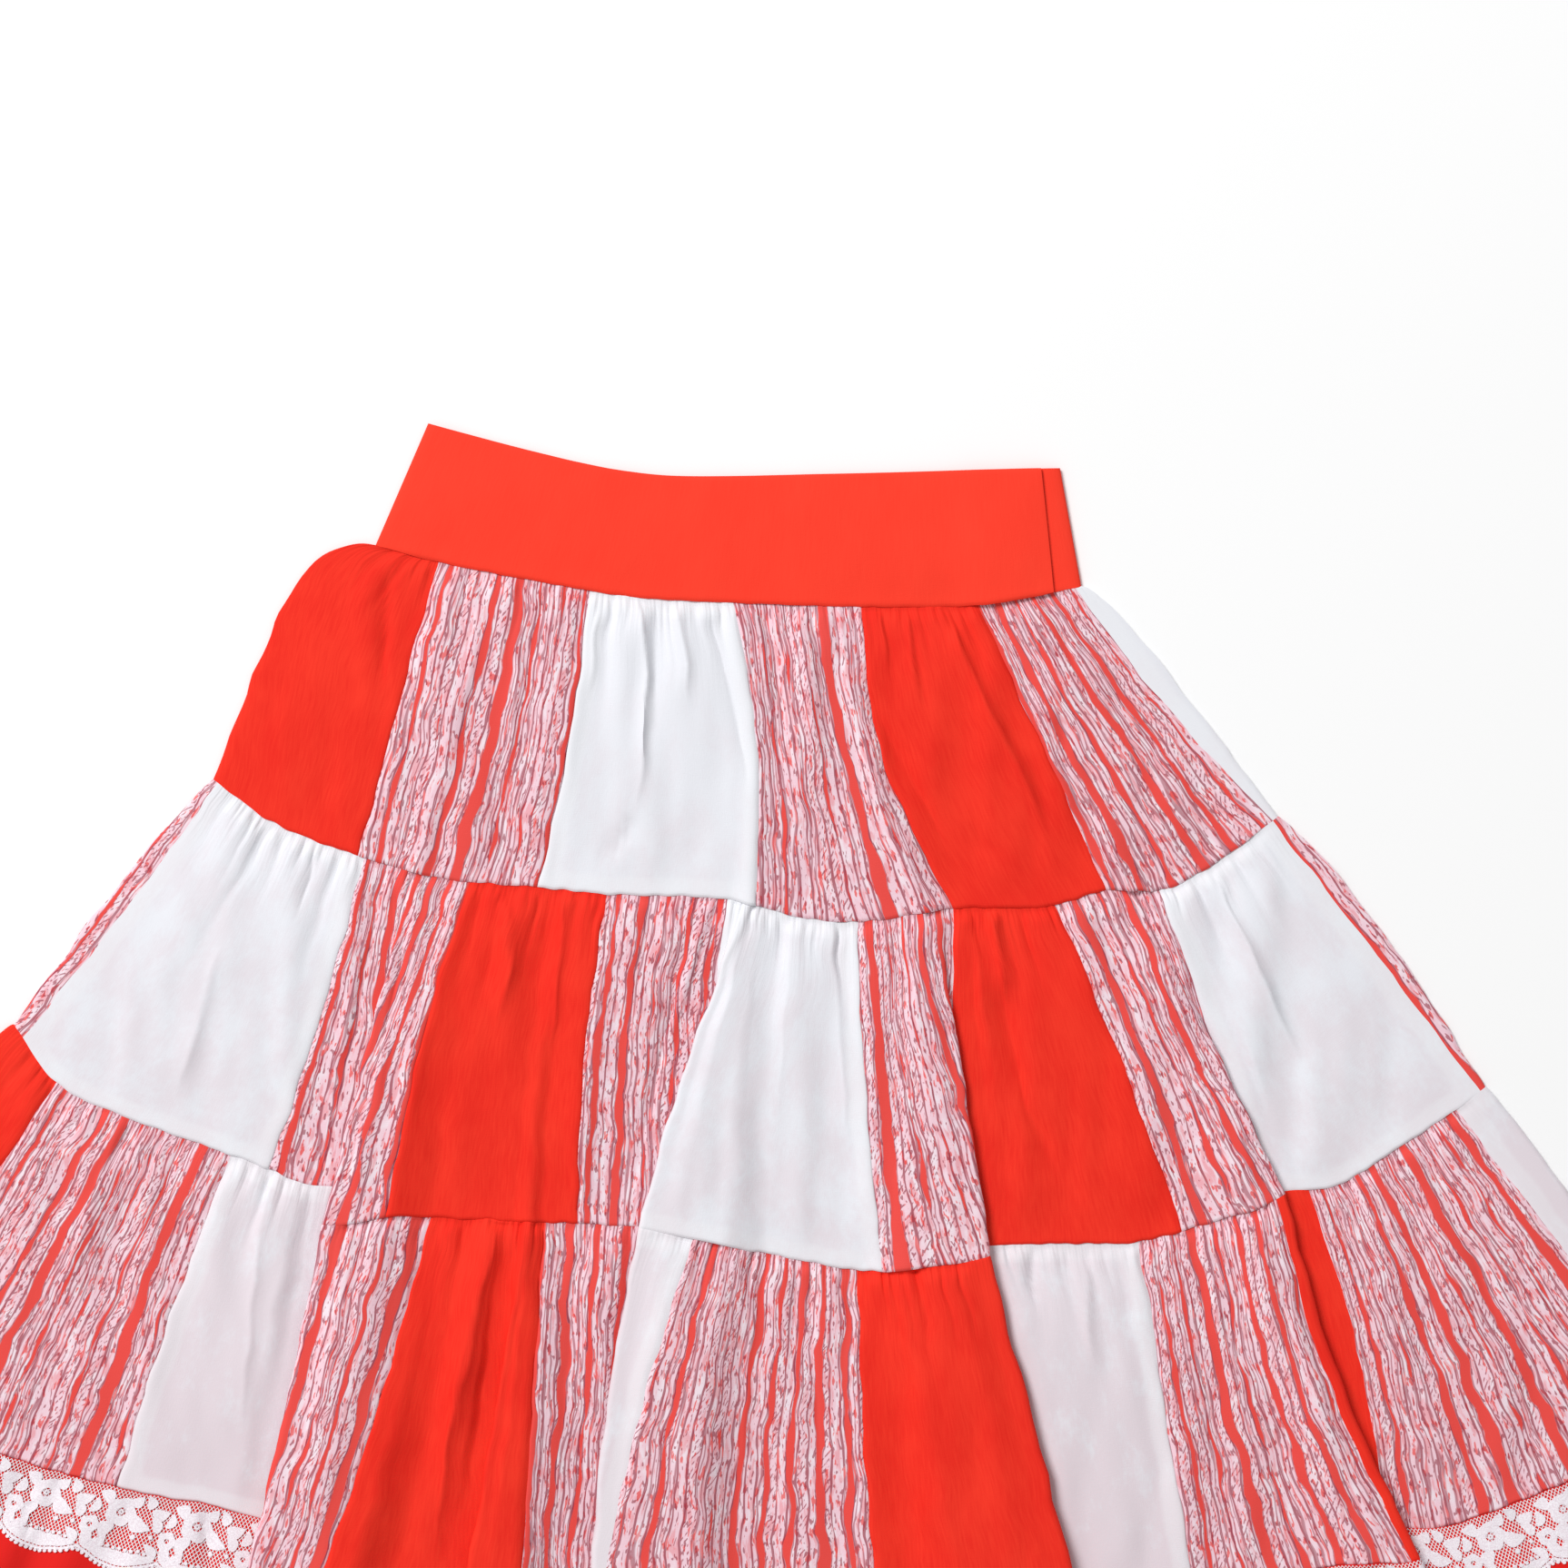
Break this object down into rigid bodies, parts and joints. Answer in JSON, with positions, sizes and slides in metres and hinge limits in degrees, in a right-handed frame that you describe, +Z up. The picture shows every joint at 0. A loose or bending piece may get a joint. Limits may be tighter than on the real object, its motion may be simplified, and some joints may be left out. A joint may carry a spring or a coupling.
{
  "type": "square dance skirt",
  "caption": "Tiered patchwork square dance skirt laid flat, in red, white and print, with a contoured waistband, gathered tiers, scalloped lace and a ruffle.",
  "frame": {"origin": "under the middle of the skirt's outline, on the plane z = 0 that it rests on", "axes": "+X to the right across the front as it lies, +Y towards the waistband, +Z up out of the front"},
  "size_m": [1.1112, 0.7124, 0.0205],
  "materials": {
    "red_cotton": "matt plain-woven red cotton",
    "white_cotton": "matt plain-woven white cotton",
    "print_cotton": "matt cotton printed with wavy red stripes on a pinkish white ground",
    "white_lace": "white floral net lace with a scalloped edge"
  },
  "bodies": {
    "root": {"lace_back": "white_lace", "lace_front": "white_lace", "ruffle_back": "red_cotton", "ruffle_front": "red_cotton", "tier1_print_02": "print_cotton", "tier1_print_04": "print_cotton", "tier1_print_06": "print_cotton", "tier1_print_08": "print_cotton", "tier1_print_10": "print_cotton", "tier1_print_12": "print_cotton", "tier1_red_01": "red_cotton", "tier1_red_05": "red_cotton", "tier1_red_09": "red_cotton", "tier1_white_03": "white_cotton", "tier1_white_07": "white_cotton", "tier1_white_11": "white_cotton", "tier2_print_01": "print_cotton", "tier2_print_03": "print_cotton", "tier2_print_05": "print_cotton", "tier2_print_07": "print_cotton", "tier2_print_09": "print_cotton", "tier2_print_11": "print_cotton", "tier2_print_13": "print_cotton", "tier2_print_15": "print_cotton", "tier2_print_17": "print_cotton", "tier2_print_19": "print_cotton", "tier2_red_04": "red_cotton", "tier2_red_08": "red_cotton", "tier2_red_12": "red_cotton", "tier2_red_16": "red_cotton", "tier2_red_20": "red_cotton", "tier2_white_02": "white_cotton", "tier2_white_06": "white_cotton", "tier2_white_10": "white_cotton", "tier2_white_14": "white_cotton", "tier2_white_18": "white_cotton", "tier3_back_16_17": "print_cotton", "tier3_back_18_19": "print_cotton", "tier3_back_20_21": "print_cotton", "tier3_back_23_24": "white_cotton", "tier3_back_25_26": "red_cotton", "tier3_back_27_28": "white_cotton", "tier3_print_02": "print_cotton", "tier3_print_04": "print_cotton", "tier3_print_06": "print_cotton", "tier3_print_08": "print_cotton", "tier3_print_10": "print_cotton", "tier3_print_12": "print_cotton", "tier3_print_14": "print_cotton", "tier3_print_22": "print_cotton", "tier3_red_01": "red_cotton", "tier3_red_05": "red_cotton", "tier3_red_09": "red_cotton", "tier3_red_13": "red_cotton", "tier3_white_03": "white_cotton", "tier3_white_07": "white_cotton", "tier3_white_11": "white_cotton", "tier3_white_15": "white_cotton", "waistband": "red_cotton"}
  },
  "joints": []
}
